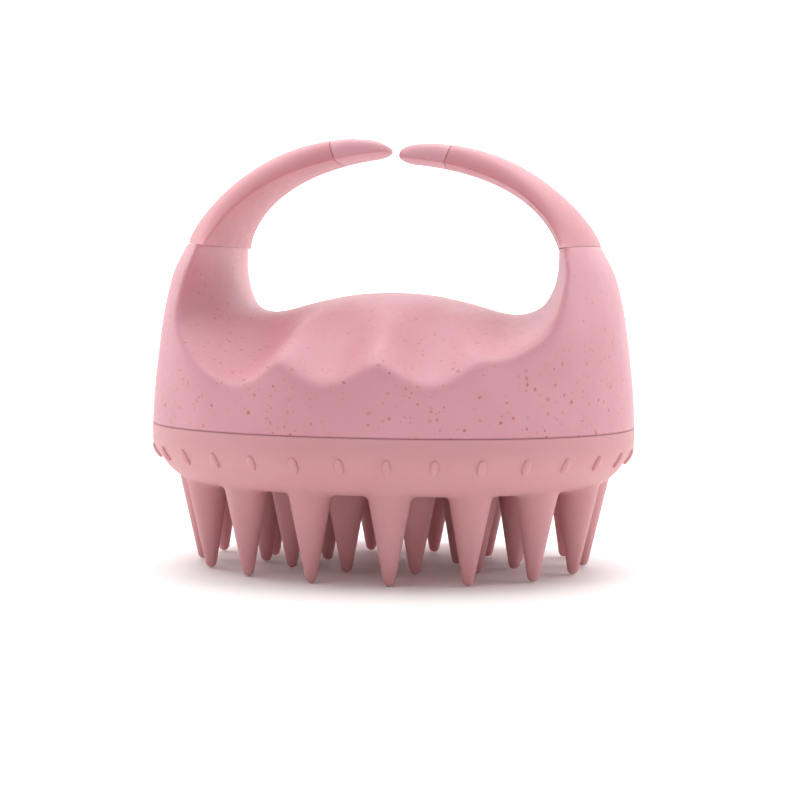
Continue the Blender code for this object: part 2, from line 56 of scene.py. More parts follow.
# The oval outline, and the shell: an upright wall with a tunnel for the fingers through it.
HALF_LENGTH = 47.5 * MM
HALF_WIDTH = 40.0 * MM
OUTLINE_POWER = 2.15
OUTLINE_SEGMENTS = 200
SEAM_Z = 28.0 * MM
WALL_PROFILE = (  # half length, half width, height
    (47.5 * MM, 40.0 * MM, 22.0 * MM),
    (47.5 * MM, 40.0 * MM, SEAM_Z),
    (47.1 * MM, 39.9 * MM, 35.0 * MM),
    (46.3 * MM, 39.7 * MM, 42.0 * MM),
    (45.6 * MM, 39.6 * MM, 47.5 * MM),
    (44.4 * MM, 39.5 * MM, 53.5 * MM),
    (42.9 * MM, 39.5 * MM, 58.3 * MM),
    (41.3 * MM, 39.5 * MM, 61.3 * MM),
    (38.5 * MM, 39.5 * MM, 66.0 * MM),
)
TUNNEL_PROFILE = (  # x and height at mid-depth, then front drop and flare, on the right and on the left
    (0.0 * MM, 53.8 * MM, (11.2 * MM, 0.0 * MM), (11.2 * MM, 0.0 * MM)),
    (8.0 * MM, 53.2 * MM, (10.8 * MM, 0.0 * MM), (10.8 * MM, 0.0 * MM)),
    (16.0 * MM, 51.5 * MM, (9.7 * MM, 0.0 * MM), (9.7 * MM, 0.0 * MM)),
    (20.5 * MM, 50.2 * MM, (8.8 * MM, 0.0 * MM), (8.8 * MM, 0.0 * MM)),
    (24.0 * MM, 49.6 * MM, (7.8 * MM, 0.0 * MM), (7.8 * MM, 0.7 * MM)),
    (27.0 * MM, 50.1 * MM, (6.7 * MM, 0.5 * MM), (6.9 * MM, 2.1 * MM)),
    (29.6 * MM, 51.6 * MM, (5.6 * MM, 1.2 * MM), (9.0 * MM, 4.1 * MM)),
    (31.4 * MM, 54.6 * MM, (4.2 * MM, 1.8 * MM), (14.0 * MM, 6.8 * MM)),
    (32.3 * MM, 58.2 * MM, (2.0 * MM, 2.1 * MM), (9.0 * MM, 5.0 * MM)),
    (32.4 * MM, 62.2 * MM, (0.0 * MM, 2.0 * MM), (0.0 * MM, 2.2 * MM)),
    (32.4 * MM, 75.0 * MM, (0.0 * MM, 2.0 * MM), (0.0 * MM, 2.0 * MM)),
)
TUNNEL_DROP_SPAN = 38.0 * MM
TUNNEL_FLARE_SPAN = 22.0 * MM
DENT_RIDGE_X = 2.2 * MM
DENT_PITCH = 18.4 * MM
DENT_DEPTHS = {-2: 6.5 * MM, -1: 4.6 * MM, 0: 4.4 * MM, 1: 1.4 * MM}
LEFTMOST_STRETCH = 1.11
DENT_SPAN = (0.30, 0.92)
DENT_DEPTH_SPAN = (0.0, 0.4)
DENT_POWER = 1.25
DOME_DENT_SPAN = (31.0 * MM, 40.0 * MM)
SHOULDER_START = 0.90
SHOULDER_DROP = 0.8 * MM
WALL_START_SPAN = (58.0 * MM, 52.0 * MM)
HOLLOW_PROFILE = (  # share of the outline, height, of the hollow under the tunnel's floor
    (0.948, 24.0 * MM),
    (0.940, 37.0 * MM),
    (0.900, 39.5 * MM),
    (0.800, 42.0 * MM),
    (0.650, 44.8 * MM),
    (0.460, 47.6 * MM),
    (0.250, 50.2 * MM),
    (0.080, 51.4 * MM),
)
SHELL_VOXEL = 0.42 * MM
SHELL_ROUNDS = 30
CREST_ROUNDS = 70
SOFT_CREST_SPAN = (58.0 * MM, 48.0 * MM)

# Soft pad.
PAD_TOP_Z = SEAM_Z - 0.07 * MM
PAD_BOTTOM_Z = 16.5 * MM
PAD_PROFILE = (  # inset from the outline, height
    (0.0 * MM, 31.0 * MM),
    (0.0 * MM, 27.0 * MM),
    (0.05 * MM, 24.6 * MM),
    (0.8 * MM, 22.7 * MM),
    (2.0 * MM, 21.1 * MM),
    (3.1 * MM, 19.6 * MM),
    (4.9 * MM, 18.0 * MM),
    (7.0 * MM, 17.0 * MM),
    (10.0 * MM, PAD_BOTTOM_Z),
)
PAD_HOLLOW = (  # inset from the outline, height
    (8.0 * MM, 18.5 * MM),
    (4.6 * MM, 21.3 * MM),
    (2.2 * MM, 24.2 * MM),
    (2.2 * MM, 33.0 * MM),
)
PAD_VOXEL = 0.42 * MM
PAD_ROUNDS = 4
NUB_COUNT = 32
NUB_Z = 22.6 * MM
NUB_INSET = 0.85 * MM
NUB_LEAN = math.radians(29.0)
NUB_HALF_SIZE = (0.85 * MM, 0.55 * MM, 1.7 * MM)
BRISTLE_RINGS = (  # count, first angle in steps, half length and half width of the ring of tips
    (16, 0.25, 37.9 * MM, 30.3 * MM),
    (12, 0.50, 25.5 * MM, 16.0 * MM),
    (4, 0.00, 13.0 * MM, 4.6 * MM),
)
BRISTLE_LEAN = 1.0 * MM
BRISTLE_ROOT_Z = 20.0 * MM
BRISTLE_ROOT_RADIUS = 4.7 * MM
BRISTLE_TIP_RADIUS = 1.15 * MM
BRISTLE_SIDES = 36

# Arms: sweeps between an outer and an inner cubic curve in the XZ plane, given on the +X side.
ROOT_OUTER = (40.4 * MM, 62.9 * MM)
ROOT_INNER = (32.4 * MM, 62.2 * MM)
ROOT_HALF_DEPTH = 22.0 * MM
ROOT_EDGE = 0.6 * MM
ROOT_RECESS = 1.3 * MM
END_RECESS = 0.8 * MM
RECESS_SPAN = (0.05, 0.85)
DEPTH_POWER = 1.2
END_HALF_DEPTH = 7.5 * MM
END_EDGE = 4.0 * MM
INNER_LAG = 0.85
SLEEVE_WALL = 1.2 * MM
SLEEVE_GAP = 0.04 * MM
TIP_GAP = 0.08 * MM
SEAM_ROUNDING = 0.10 * MM
JOINT_ROUNDING = 0.15 * MM
SPIGOT_LENGTH = 7.0 * MM
SPIGOT_ROOT_OUTER = (42.2 * MM, 59.4 * MM)
SPIGOT_ROOT_INNER = (32.8 * MM, 58.6 * MM)
SOCKET_DEPTH = 3.4 * MM
TIP_ROUND_LENGTH = 3.4 * MM
ARMS = {
    "left": {
        "side": -1,
        "outer": (ROOT_OUTER, (40.9 * MM, 66.5 * MM), (25.5 * MM, 88.1 * MM), (0.9 * MM, 82.7 * MM)),
        "inner": (ROOT_INNER, (27.4 * MM, 75.6 * MM), (10.8 * MM, 79.2 * MM), (0.9 * MM, 80.2 * MM)),
        "tip_length": 10.7 * MM,
    },
    "right": {
        "side": 1,
        "outer": (ROOT_OUTER, (40.1 * MM, 66.8 * MM), (24.0 * MM, 86.8 * MM), (0.7 * MM, 81.9 * MM)),
        "inner": (ROOT_INNER, (27.4 * MM, 75.6 * MM), (10.0 * MM, 78.6 * MM), (0.7 * MM, 79.0 * MM)),
        "tip_length": 10.4 * MM,
    },
}

# The rounded edges of an arm's sections.
OUTER_ROUNDING = 2.2 * MM
LEAST_OUTER_ROUNDING = 0.7 * MM
INNER_ROUNDING = 0.4 * MM
CORNER_HEIGHT = 0.35 * MM
CAVITY_EDGE = 0.3 * MM
CAVITY_NARROWING = 0.18
CAVITY_NARROWING_SPAN = (2.9 * MM, 2.0 * MM)

# Cutters: half width of the plain ones, and the near side, half depth and top of those for the seams.
CUTTER_HALF = 60 * MM
CUTTER_NEAR = 20 * MM
CUTTER_DEPTH = 50 * MM
CUTTER_TOP = 90 * MM

# Stage, in metres: the floor, a glowing wall behind it, the lights and the camera.
STAGE_HALF = 1.8
STAGE_FRONT = -1.4
STAGE_BACK = 1.6
WALL_HEIGHT = 2.2
WALL_GLOW = 0.75
WORLD_GLOW = 0.32
LIGHTS = (  # name, place, target, size, power
    ("overhead", (0.0, 0.45, 1.4), (0, 0.2, 0.03), (1.9, 1.6), 26.0),
    ("front_top", (-0.35, -0.55, 1.2), (0, 0, 0.05), (0.7, 0.7), 4.0),
    ("left_side", (-1.0, 0.3, 0.45), (0, 0, 0.04), (0.8, 0.8), 3.9),
    ("right_side", (1.0, 0.25, 0.45), (0, 0, 0.04), (0.8, 0.8), 4.0),
)
CAMERA_AZIMUTH = math.radians(8.0)
CAMERA_TURN = math.radians(0.19)
CAMERA_PITCH = math.radians(3.54)
CAMERA_ROLL = math.radians(0.63)
CAMERA_DISTANCE = 0.373
CAMERA_HEIGHT = 0.0555
CAMERA_LENS = 84.8


# Mesh helpers

def new_object(name, bm):
    bmesh.ops.recalc_face_normals(bm, faces=bm.faces)
    mesh = bpy.data.meshes.new(name)
    bm.to_mesh(mesh)
    bm.free()
    obj = bpy.data.objects.new(name, mesh)
    bpy.context.scene.collection.objects.link(obj)
    finish_skin(obj)
    return obj


def finish_skin(obj, sharp_angle=30):
    obj.data.shade_smooth()
    obj.data.set_sharp_from_angle(angle=math.radians(sharp_angle))


def skin(bm, rings, closed=False):
    """Faces between rings of equal count: a closed tube loop, or a body with an end face on each end ring."""
    loops = [[bm.verts.new(point) for point in ring] for ring in rings]
    pairs = list(zip(loops, loops[1:]))
    if closed:
        pairs.append((loops[-1], loops[0]))
    for low, high in pairs:
        for i in range(len(low)):
            j = (i + 1) % len(low)
            bm.faces.new((low[i], low[j], high[j], high[i]))
    if not closed:
        bm.faces.new(loops[0])
        bm.faces.new(loops[-1])


def body_of_rings(name, rings, closed=False):
    bm = bmesh.new()
    skin(bm, rings, closed)
    return new_object(name, bm)


def combine(obj, other, operation):
    modifier = obj.modifiers.new(operation, "BOOLEAN")
    modifier.operation = operation
    modifier.solver = "MANIFOLD"
    modifier.object = other


def apply_modifiers(obj, *helpers):
    """Makes the evaluated mesh the object's own, and removes the objects that its modifiers used."""
    graph = bpy.context.evaluated_depsgraph_get()
    made = bpy.data.meshes.new_from_object(obj.evaluated_get(graph))
    obj.modifiers.clear()
    obj.data = made
    for helper in helpers:
        bpy.data.objects.remove(helper)


def smooth_voxels(obj, voxel, rounds, low_rounds, helper):
    """Evens out the mesh and softens its edges, with more rounds low down, and removes the helper."""
    remesh = obj.modifiers.new("even skin", "REMESH")
    remesh.mode = "VOXEL"
    remesh.voxel_size = voxel
    remesh.use_smooth_shade = True
    apply_modifiers(obj, helper)
    low = obj.vertex_groups.new(name="low")
    for vert in obj.data.vertices:
        low.add([vert.index], float(smooth_step(vert.co.z, *SOFT_CREST_SPAN)), "REPLACE")
    for name, count, group in (("soft edges", rounds, ""), ("soft crest", low_rounds, "low")):
        smooth = obj.modifiers.new(name, "SMOOTH")
        smooth.factor = 0.5
        smooth.iterations = count
        smooth.vertex_group = group
    apply_modifiers(obj)
    obj.vertex_groups.clear()


def curve_through(values, rows, column):
    """A smooth curve through one column of a table whose first column rises, at each of the values."""
    known = np.array([row[0] for row in rows])
    heights = np.array([row[column] for row in rows])
    slopes = np.gradient(heights, known)
    at = np.clip(np.searchsorted(known, values) - 1, 0, len(known) - 2)
    step = known[at + 1] - known[at]
    part = (values - known[at]) / step
    start = heights[at] * (2 * part ** 3 - 3 * part ** 2 + 1)
    start_slope = slopes[at] * step * (part ** 3 - 2 * part ** 2 + part)
    end = heights[at + 1] * (3 * part ** 2 - 2 * part ** 3)
    end_slope = slopes[at + 1] * step * (part ** 3 - part ** 2)
    return start + start_slope + (end + end_slope)


def smooth_step(value, start, end):
    part = np.clip((value - start) / (end - start), 0, 1)
    return part * part * (3 - 2 * part)


def block(name, bottom, top):
    """A plain cutter, wider than the whole brush."""
    reach = CUTTER_HALF
    corners = ((-reach, -reach), (reach, -reach), (reach, reach), (-reach, reach))
    return body_of_rings(name, [[(x, y, z) for x, y in corners] for z in (bottom, top)])


# Outline

def outline_point(angle, inset=0.0, half_length=HALF_LENGTH, half_width=HALF_WIDTH):
    c = math.cos(angle)
    s = math.sin(angle)
    x = math.copysign(abs(c) ** (2 / OUTLINE_POWER), c) * (half_length - inset)
    y = math.copysign(abs(s) ** (2 / OUTLINE_POWER), s) * (half_width - inset)
    return Vector((x, y, 0.0))


def outline_ring(z, inset=0.0, half_length=HALF_LENGTH, half_width=HALF_WIDTH):
    angles = [2 * math.pi * k / OUTLINE_SEGMENTS for k in range(OUTLINE_SEGMENTS)]
    return [outline_point(a, inset, half_length, half_width) + Vector((0, 0, z)) for a in angles]


def share_at(x, y):
    """How far out a place is: 0 in the middle and 1 on the outline."""
    x_part = abs(x / HALF_LENGTH) ** OUTLINE_POWER
    y_part = abs(y / HALF_WIDTH) ** OUTLINE_POWER
    return (x_part + y_part) ** (1 / OUTLINE_POWER)


# Shell

def dent(x, y, share):
    """How far the finger dents lower the top of the shell. The back is the front turned half round."""
    turns = (math.copysign(x, -x * y) / math.sqrt(max(share, 0.1)) - DENT_RIDGE_X) / DENT_PITCH
    if turns < -1:
        turns = -1 + (turns + 1) / LEFTMOST_STRETCH
    depth = DENT_DEPTHS.get(math.floor(turns), 0.0) * abs(math.sin(math.pi * turns)) ** DENT_POWER
    return depth * smooth_step(share, *DENT_SPAN) * smooth_step(abs(y) / HALF_WIDTH, *DENT_DEPTH_SPAN)


def wall_rings():
    """Rings of the upright wall before the tunnel is cut."""
    by_height = [(z, half_x, half_y) for half_x, half_y, z in WALL_PROFILE]
    heights = np.linspace(by_height[0][0], by_height[-1][0], 60)
    lengths = curve_through(heights, by_height, 1)
    widths = curve_through(heights, by_height, 2)
    return [outline_ring(z, 0.0, a, b) for z, a, b in zip(heights, lengths, widths)]


def tunnel_columns():
    """(x, height, drop, flare) across the tunnel, evenly over its floor and up both walls."""
    places = np.concatenate([np.linspace(0, 4, 60)[:-1], np.linspace(4, len(TUNNEL_PROFILE) - 1, 80)])
    halves = []
    for side in (3, 2):
        rows = [(float(k), row[0], row[1], *row[side]) for k, row in enumerate(TUNNEL_PROFILE)]
        halves.append(np.stack([curve_through(places, rows, column) for column in (1, 2, 3, 4)], axis=1))
    left, right = halves
    return np.concatenate([left[:0:-1] * (-1, 1, 1, 1), right])


def tunnel_ring(columns, depth_share):
    """The tunnel's profile where it has gone this share of the way to the wall. The back half is the front
    half turned half round."""
    ring = []
    for x, height, drop, flare in columns:
        reach = HALF_WIDTH * (1 - abs(x / HALF_LENGTH) ** OUTLINE_POWER) ** (1 / OUTLINE_POWER)
        y = -reach * abs(depth_share)
        share = share_at(x, y)
        shoulder = np.clip((share - SHOULDER_START) / (1 - SHOULDER_START), 0, 1)
        on_floor = smooth_step(height, *WALL_START_SPAN)
        lowered = dent(x, y, share) + SHOULDER_DROP * shoulder ** 3
        z = height - drop * (y / TUNNEL_DROP_SPAN) ** 2 - lowered * on_floor
        outwards = math.copysign(flare * (y / TUNNEL_FLARE_SPAN) ** 2, x)
        ring.append(Vector((x + outwards, y, z)))
    return [Vector((-p.x, -p.y, p.z)) for p in reversed(ring)] if depth_share > 0 else ring


def make_tunnel():
    """The finger tunnel as a cutter, with its rings closest together where it leaves the wall."""
    columns = tunnel_columns()
    half = np.concatenate([np.linspace(0, 0.8, 28)[:-1], np.linspace(0.8, 1.1, 26), [1.35]])
    shares = np.concatenate([-half[:0:-1], half])
    return body_of_rings("tunnel", [tunnel_ring(columns, share) for share in shares])


def make_hollow():
    """The space under the tunnel's floor, which follows the floor's dents."""
    rings = []
    for share, z in HOLLOW_PROFILE:
        ring = []
        for point in outline_ring(0.0, 0.0, HALF_LENGTH * share, HALF_WIDTH * share):
            lowered = dent(point.x, point.y, share) * smooth_step(z, *DOME_DENT_SPAN)
            ring.append(point + Vector((0, 0, z - lowered)))
        rings.append(ring)
    return body_of_rings("hollow", rings)


def seam_height(x):
    """Height of the seam between an arm's root and its sleeve, which slopes a little."""
    slope = (ROOT_OUTER[1] - ROOT_INNER[1]) / (ROOT_OUTER[0] - ROOT_INNER[0])
    return ROOT_INNER[1] + slope * (abs(x) - ROOT_INNER[0])


def make_seam_cutter(side):
    """Takes away all that stands above the seam between a root and its sleeve."""
    rings = []
    near = side * CUTTER_NEAR
    far = side * CUTTER_HALF
    for y in (-CUTTER_DEPTH, CUTTER_DEPTH):
        rings.append([
            (near, y, seam_height(near)),
            (far, y, seam_height(far)),
            (far, y, CUTTER_TOP),
            (near, y, CUTTER_TOP),
        ])
    return body_of_rings("seam_cutter", rings)


def make_shell():
    """The hard palm shell: its edges are softened first, and the seams are cut sharp afterwards."""
    shell = body_of_rings("palm_shell", wall_rings())
    tunnel = make_tunnel()
    combine(shell, tunnel, "DIFFERENCE")
    smooth_voxels(shell, SHELL_VOXEL, SHELL_ROUNDS, CREST_ROUNDS, tunnel)
    helpers = [
        block("below_rim", 10 * MM, SEAM_Z),
        make_hollow(),
        make_seam_cutter(-1),
        make_seam_cutter(1),
    ]
    for helper in helpers:
        combine(shell, helper, "DIFFERENCE")
    for label, arm in ARMS.items():
        spigot = make_spigot(arm, f"{label}_spigot")
        combine(shell, spigot, "UNION")
        helpers.append(spigot)
    apply_modifiers(shell, *helpers)
    finish_skin(shell)
    return shell


# Pad

def rod_rings(root, tip):
    """A bristle: a cone with a ball end."""
    rise = BRISTLE_ROOT_Z - BRISTLE_TIP_RADIUS
    levels = []
    for angle in np.linspace(0.12, math.pi / 2, 8):
        levels.append((BRISTLE_TIP_RADIUS * (1 - math.cos(angle)), BRISTLE_TIP_RADIUS * math.sin(angle)))
    for part in np.linspace(0.04, 1, 26):
        radius = BRISTLE_TIP_RADIUS + (BRISTLE_ROOT_RADIUS - BRISTLE_TIP_RADIUS) * part
        levels.append((BRISTLE_TIP_RADIUS + rise * part, radius))
    turns = [2 * math.pi * k / BRISTLE_SIDES for k in range(BRISTLE_SIDES)]
    rings = []
    for z, radius in levels:
        centre = tip + (root - tip) * (z / BRISTLE_ROOT_Z)
        rings.append([(centre.x + radius * math.cos(a), centre.y + radius * math.sin(a), z) for a in turns])
    return rings


def make_bristles():
    bm = bmesh.new()
    for count, phase, half_x, half_y in BRISTLE_RINGS:
        for k in range(count):
            angle = 2 * math.pi * (k + phase) / count - math.pi / 2
            tip = Vector((half_x * math.cos(angle), half_y * math.sin(angle)))
            lean = BRISTLE_LEAN * tip.length / HALF_LENGTH
            skin(bm, rod_rings(tip + tip.normalized() * lean, tip))
    return new_object("bristles", bm)


def even_angles(count, inset):
    """Outline angles of places spaced evenly round the oval."""
    steps = 1440
    points = [outline_point(2 * math.pi * k / steps, inset) for k in range(steps + 1)]
    lengths = np.cumsum([0.0] + [(b - a).length for a, b in zip(points, points[1:])])
    wanted = lengths[-1] * (np.arange(count) + 0.5) / count
    return np.interp(wanted, lengths, np.linspace(0, 2 * math.pi, steps + 1))


def make_nubs():
    """Grip nubs on the pad's side, each leaning with the surface that it stands on."""
    bm = bmesh.new()
    for angle in even_angles(NUB_COUNT, NUB_INSET):
        place = outline_point(angle, NUB_INSET)
        ahead = outline_point(angle + 0.01, NUB_INSET)
        heading = math.atan2(ahead.y - place.y, ahead.x - place.x)
        turn = Matrix.Translation((place.x, place.y, NUB_Z)) @ Matrix.Rotation(heading, 4, "Z")
        turn = turn @ Matrix.Rotation(NUB_LEAN, 4, "X")
        size = Matrix.Diagonal((*NUB_HALF_SIZE, 1.0))
        bmesh.ops.create_uvsphere(bm, u_segments=20, v_segments=14, radius=1.0, matrix=turn @ size)
    return new_object("nubs", bm)


def make_pad():
    """The soft pad with its bristles and nubs, hollow and open towards the shell."""
    by_step = [(float(k), *row) for k, row in enumerate(PAD_PROFILE)]
    steps = np.linspace(0, len(by_step) - 1, 70)
    insets = curve_through(steps, by_step, 1)
    heights = curve_through(steps, by_step, 2)
    pad = body_of_rings("soft_pad", [outline_ring(z, inset) for inset, z in zip(insets, heights)])
    bristles = make_bristles()
    combine(pad, bristles, "UNION")
    smooth_voxels(pad, PAD_VOXEL, PAD_ROUNDS, 0, bristles)
    nubs = make_nubs()
    combine(pad, nubs, "UNION")
    helpers = [
        nubs,
        body_of_rings("pad_hollow", [outline_ring(z, inset) for inset, z in PAD_HOLLOW]),
        block("above_pad", PAD_TOP_Z, 40 * MM),
    ]
    for helper in helpers[1:]:
        combine(pad, helper, "DIFFERENCE")
    apply_modifiers(pad, *helpers)
    finish_skin(pad, 50)
    return pad


# Arms

def cubic(points, t):
    weights = ((1 - t) ** 3, 3 * t * (1 - t) ** 2, 3 * t * t * (1 - t), t ** 3)
    return Vector([sum(w * point[k] for w, point in zip(weights, points)) for k in (0, 1)])


def inner_point(arm, t):
    """The point on the inner curve that lies square across the arm from the outer curve's point."""
    return cubic(arm["inner"], t - INNER_LAG * t * (1 - t))


def section(side, outer, inner, half_depth, edge, recess, inset=0.0, scale=1.0):
    """One cross-section of an arm, with a soft outer edge and a fine inner one. An inset gives the section of
    the cavity or plug inside it, which is narrower where the arm is thin."""
    across = outer - inner
    thickness = across.length - 2 * inset
    direction = across.normalized()
    middle = inner + across / 2
    if inset:
        start, end = CAVITY_NARROWING_SPAN
        narrower = CAVITY_NARROWING * np.clip((start - edge) / (start - end), 0, 1)
        half_depth = half_depth * (1 - narrower) - inset
        edge = max(edge - 2 * inset, CAVITY_EDGE)
    edge = min(edge, 0.8 * thickness)
    corner = min(CORNER_HEIGHT, 0.35 * edge)
    outer_power = 2 * half_depth / min(OUTER_ROUNDING, max(edge, LEAST_OUTER_ROUNDING))
    inner_power = 2 * half_depth / INNER_ROUNDING
    points = []
    turns = np.linspace(-0.5 * math.pi, 0.5 * math.pi, 49)
    for outside in (True, False):
        for turn in (turns[:-1] if outside else -turns[:-1]):
            spread = math.sin(turn)
            size = abs(spread)
            low = recess * size ** OUTLINE_POWER
            if outside:
                bulge = (thickness - edge) * (1 - size ** OUTLINE_POWER)
                rim = corner + (edge - corner) * math.sqrt(max(0.0, 1 - size ** outer_power))
                out = low + bulge + rim
            else:
                out = low + corner * (1 - math.sqrt(max(0.0, 1 - size ** inner_power)))
            spot = middle + (inner + direction * (out + inset) - middle) * scale
            points.append(Vector((side * spot.x, spread * half_depth * scale, spot.y)))
    return points


def arm_section(arm, t, inset=0.0, scale=1.0):
    half_depth = END_HALF_DEPTH + (ROOT_HALF_DEPTH - END_HALF_DEPTH) * (1 - t) ** DEPTH_POWER
    edge = ROOT_EDGE + (END_EDGE - ROOT_EDGE) * t
    recess = ROOT_RECESS + (END_RECESS - ROOT_RECESS) * smooth_step(t, *RECESS_SPAN)
    outer = cubic(arm["outer"], t)
    inner = inner_point(arm, t)
    return section(arm["side"], outer, inner, half_depth, edge, recess, inset, scale)


def arm_centre(arm, t):
    return (cubic(arm["outer"], t) + inner_point(arm, t)) / 2


def arm_place(arm, length, from_tip=False):
    """The sweep parameter at this length along the arm's centre line, from its root or from its tip's end."""
    steps = np.linspace(1, 0, 801) if from_tip else np.linspace(0, 1, 801)
    points = [arm_centre(arm, t) for t in steps]
    lengths = np.cumsum([0.0] + [(b - a).length for a, b in zip(points, points[1:])])
    return float(np.interp(length, lengths, steps))


def make_spigot(arm, name):
    """The plug that the sleeve is pushed over. It starts inside the arm's root on the shell."""
    inset = SLEEVE_WALL + FIT_GAP
    low = section(
        arm["side"], Vector(SPIGOT_ROOT_OUTER), Vector(SPIGOT_ROOT_INNER),
        ROOT_HALF_DEPTH, ROOT_EDGE, ROOT_RECESS, inset,
    )
    end = arm_place(arm, SPIGOT_LENGTH)
    return body_of_rings(name, [low] + [arm_section(arm, t, inset) for t in np.linspace(0.0, end, 8)])


def make_sleeve(label, arm):
    """The soft sleeve, as a tube with slightly rounded ends."""
    seam = arm_place(arm, SLEEVE_GAP)
    joint = arm_place(arm, arm["tip_length"], from_tip=True)
    places = np.linspace(seam, joint, 100)
    small = (joint - seam) * 0.004
    outside = [arm_section(arm, seam, SEAM_ROUNDING), arm_section(arm, seam + small)]
    outside += [arm_section(arm, t) for t in places[1:-1]]
    outside += [arm_section(arm, joint - small), arm_section(arm, joint, JOINT_ROUNDING)]
    inside = [arm_section(arm, t, SLEEVE_WALL) for t in np.linspace(joint, seam, 40)]
    sleeve = body_of_rings(f"{label}_soft_sleeve", outside + inside, closed=True)
    finish_skin(sleeve, 60)
    return sleeve


def make_tip(label, arm):
    """The hard end piece: a plug inside the sleeve, and a ball-nosed end."""
    start = arm_place(arm, arm["tip_length"] - TIP_GAP, from_tip=True)
    socket_end = arm_place(arm, arm["tip_length"] - SOCKET_DEPTH, from_tip=True)
    round_start = arm_place(arm, TIP_ROUND_LENGTH, from_tip=True)
    small = (round_start - start) * 0.02
    socket = [arm_section(arm, t, SLEEVE_WALL) for t in np.linspace(socket_end, start, 8)]
    outer = [arm_section(arm, start, JOINT_ROUNDING)]
    outer += [arm_section(arm, t) for t in np.linspace(start + small, round_start, 24)]
    rounded = []
    for turn in np.linspace(0.04, 0.49, 22) * math.pi:
        part = math.sin(turn)
        t = round_start + (1 - round_start) * part
        rounded.append(arm_section(arm, t, 0.0, math.cos(turn) ** 0.9))
    tip = body_of_rings(f"{label}_hard_tip", socket + outer + rounded)
    finish_skin(tip, 60)
    return tip


# Materials

def srgb(red, green, blue):
    """Linear colour of an sRGB triple in 0 to 255."""
    values = np.array((red, green, blue)) / 255
    return (*np.where(values <= 0.04045, values / 12.92, ((values + 0.055) / 1.055) ** 2.4), 1.0)


STRAW_TONES = (srgb(208, 146, 156), srgb(213, 154, 164))
FLECKS = (  # pitch, radius, chance, colour
    (1.20 * MM, 0.38 * MM, 0.50, srgb(184, 108, 82)),
    (1.60 * MM, 0.36 * MM, 0.26, srgb(146, 104, 108)),
    (0.85 * MM, 0.22 * MM, 0.50, srgb(184, 112, 112)),
)
FLECK_FADE_SPAN = (34 * MM, 50 * MM)
# Painted shade: the darker pink that stands in for the shadow in the seam between the shell and the pad, and
# the distances from the seam over which it fades.
PAINTED_SEAM_SHADE = srgb(158, 74, 88)
PAINTED_SEAM_SHADE_SPAN = (0.08 * MM, 0.34 * MM)
PAD_TONES = (srgb(206, 149, 153), srgb(211, 155, 159))
SLEEVE_TONES = (srgb(202, 138, 146), srgb(208, 144, 151))
CORE_TONES = (srgb(176, 98, 108), srgb(186, 108, 118))
STEEL_TONES = (srgb(170, 170, 174), srgb(205, 205, 208))
PAPER_TONES = ((0.92, 0.915, 0.915, 1.0), (0.935, 0.93, 0.93, 1.0))
GLOW_TONES = ((1.0, 1.0, 1.0, 1.0), (0.995, 0.995, 0.995, 1.0))
FINE_BUMP = 0.05 * MM
SUBSURFACE_RADIUS = (1.0, 0.40, 0.38)
SUBSURFACE_DEPTH = 2.0 * MM


